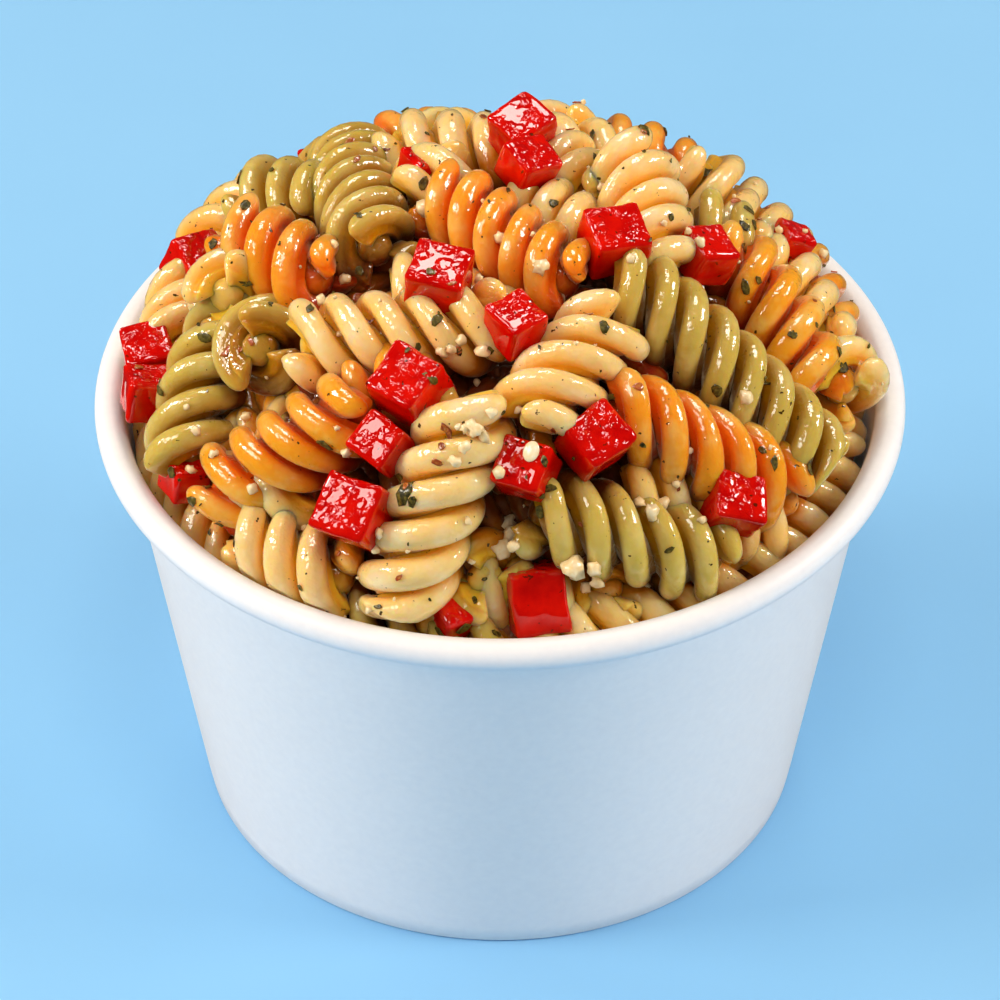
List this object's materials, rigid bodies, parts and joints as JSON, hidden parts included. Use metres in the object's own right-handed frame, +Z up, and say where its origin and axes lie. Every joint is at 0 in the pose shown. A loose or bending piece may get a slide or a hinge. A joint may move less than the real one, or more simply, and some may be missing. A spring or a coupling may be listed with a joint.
{
  "type": "pasta salad in a paper cup",
  "caption": "Round white paper food cup with a rolled rim, heaped above the rim with corkscrew pasta in cream, orange and green and diced red pepper.",
  "frame": {"origin": "on the surface that the cup stands on, under the centre of its base", "axes": "+Z up out of the cup; the side the picture shows faces -Y, and +X is to its right"},
  "size_m": [0.114, 0.114, 0.1027],
  "materials": {
    "cup_paper": "satin white coated paper",
    "pasta": "wet cooked pasta in cream, orange and green doughs, with oil",
    "red_pepper": "wet glossy red flesh"
  },
  "bodies": {
    "root": {"cup": "cup_paper", "pasta_heap": "pasta", "pepper_left_far": "red_pepper", "pepper_left_rim_a": "red_pepper", "pepper_left_rim_b": "red_pepper", "pepper_left_low": "red_pepper", "pepper_top_small": "red_pepper", "pepper_top_a": "red_pepper", "pepper_top_b": "red_pepper", "pepper_top_right": "red_pepper", "pepper_mid_left": "red_pepper", "pepper_centre": "red_pepper", "pepper_left_centre": "red_pepper", "pepper_left_upper": "red_pepper", "pepper_left_front": "red_pepper", "pepper_centre_front": "red_pepper", "pepper_right_centre": "red_pepper", "pepper_right_front": "red_pepper", "pepper_front": "red_pepper", "pepper_front_low": "red_pepper", "pepper_right_far": "red_pepper", "pepper_right_rim": "red_pepper", "pepper_back_left": "red_pepper", "pepper_back_mid": "red_pepper", "pepper_back_right": "red_pepper"}
  },
  "joints": []
}
